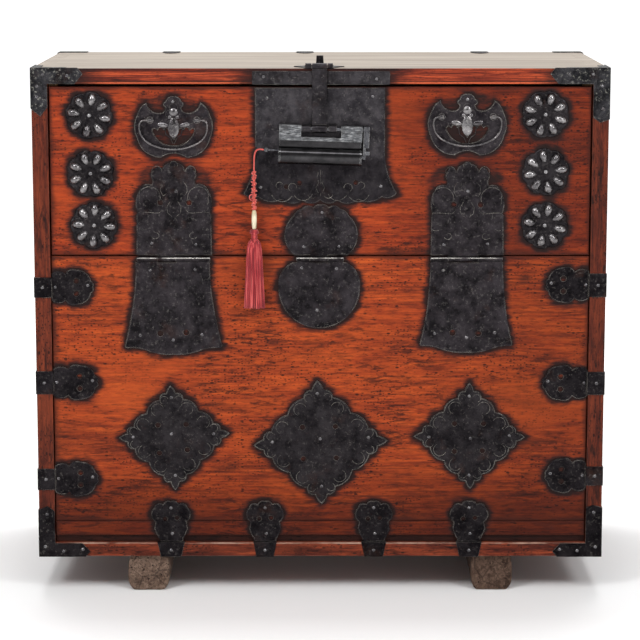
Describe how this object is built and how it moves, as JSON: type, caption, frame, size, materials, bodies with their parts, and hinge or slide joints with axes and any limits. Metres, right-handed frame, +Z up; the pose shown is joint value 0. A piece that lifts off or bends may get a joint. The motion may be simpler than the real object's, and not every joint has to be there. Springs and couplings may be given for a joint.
{
  "type": "bandaji chest",
  "caption": "Korean bandaji blanket chest of red-brown wood with iron fittings, a drop-front door and a barrel padlock with tassel.",
  "frame": {"origin": "centre of the chest's footprint on the floor, measured without the tassel", "axes": "+X to the chest's right as seen from the front, +Y to the back, +Z up; the front faces -Y"},
  "size_m": [0.9026, 0.478, 0.856],
  "materials": {
    "case_wood": "satin",
    "front_wood": "satin",
    "inner_wood": "matte",
    "iron": "satin",
    "steel": "satin",
    "tassel_cord": "matte",
    "tassel_silk": "satin",
    "bead": "satin"
  },
  "bodies": {
    "case": {"back_corner_irons": "iron", "back_edge_straps": "iron", "back_lower_board": "inner_wood", "back_upper_board": "inner_wood", "bottom_board": "case_wood", "bottom_straps": "iron", "case_nails": "iron", "centre_hinge_lower_leaf": "iron", "centre_hinge_pin": "iron", "corner_iron_bottom_left": "iron", "corner_iron_bottom_right": "iron", "corner_iron_top_left": "iron", "corner_iron_top_right": "iron", "diamond_plate_centre": "iron", "diamond_plate_left": "iron", "diamond_plate_right": "iron", "door_stop_left": "inner_wood", "door_stop_right": "inner_wood", "hasp_mount": "iron", "hasp_pin": "iron", "left_hinge_lower_leaf": "iron", "left_hinge_pin": "iron", "left_runner": "case_wood", "left_side_board": "case_wood", "lower_front_board": "front_wood", "lower_front_plank": "front_wood", "right_hinge_lower_leaf": "iron", "right_hinge_pin": "iron", "right_runner": "case_wood", "right_side_board": "case_wood", "side_straps_left": "iron", "side_straps_right": "iron", "top_board": "case_wood", "top_front_band": "iron"},
    "door": {"door_board": "front_wood", "rosette_plates_left": "iron", "rosette_plates_right": "iron", "rosette_bosses": "iron", "handle_plate_left": "iron", "handle_plate_right": "iron", "handle_posts": "iron", "lock_plate": "iron", "lock_rings": "iron", "left_hinge_upper_leaf": "iron", "centre_hinge_upper_leaf": "iron", "right_hinge_upper_leaf": "iron", "door_nails": "iron"},
    "hasp": {"hasp": "iron"},
    "padlock": {"padlock_case": "steel"},
    "shackle": {"padlock_shackle": "steel", "padlock_springs": "steel"},
    "key": {"padlock_key": "steel"},
    "tassel": {"tassel_cord": "tassel_cord", "tassel_knot": "tassel_cord", "tassel_bead": "bead", "tassel_head": "tassel_silk", "tassel_skirt": "tassel_silk"},
    "handle_left": {"handle_bail_left": "iron"},
    "handle_right": {"handle_bail_right": "iron"}
  },
  "joints": [
    {"name": "door_swing", "type": "hinge", "parent": "case", "child": "door", "pos_m": [0, -0.2128, 0.5393], "axis": [1, 0, 0], "range_deg": [0, 150]},
    {"name": "hasp_swing", "type": "hinge", "parent": "door", "child": "hasp", "pos_m": [0, -0.2188, 0.842], "axis": [-1, 0, 0], "range_deg": [0, 165]},
    {"name": "padlock_swing", "type": "hinge", "parent": "door", "child": "padlock", "pos_m": [0, -0.2188, 0.7445], "axis": [0.9995, 0, -0.0323], "range_deg": [-136, 0]},
    {"name": "shackle_slide", "type": "slide", "parent": "padlock", "child": "shackle", "axis": [0.9995, 0, -0.0323], "range_m": [0, 0.085]},
    {"name": "key_slide", "type": "slide", "parent": "padlock", "child": "key", "axis": [-0.9995, 0, 0.0323], "range_m": [0, 0.04]},
    {"name": "tassel_swing", "type": "hinge", "parent": "key", "child": "tassel", "pos_m": [-0.08527, -0.2249, 0.71262], "axis": [1, 0, 0], "range_deg": [-16, 0]},
    {"name": "handle_left_swing", "type": "hinge", "parent": "door", "child": "handle_left", "pos_m": [-0.2291, -0.2168, 0.7576], "axis": [-1, 0, 0], "range_deg": [0, 120]},
    {"name": "handle_right_swing", "type": "hinge", "parent": "door", "child": "handle_right", "pos_m": [0.2294, -0.2168, 0.7628], "axis": [-1, 0, 0], "range_deg": [0, 120]}
  ],
  "couplings": [
    {"joint": "padlock_swing", "follows": "door_swing", "ratio": -0.9},
    {"joint": "tassel_swing", "follows": "door_swing", "ratio": -0.1}
  ]
}
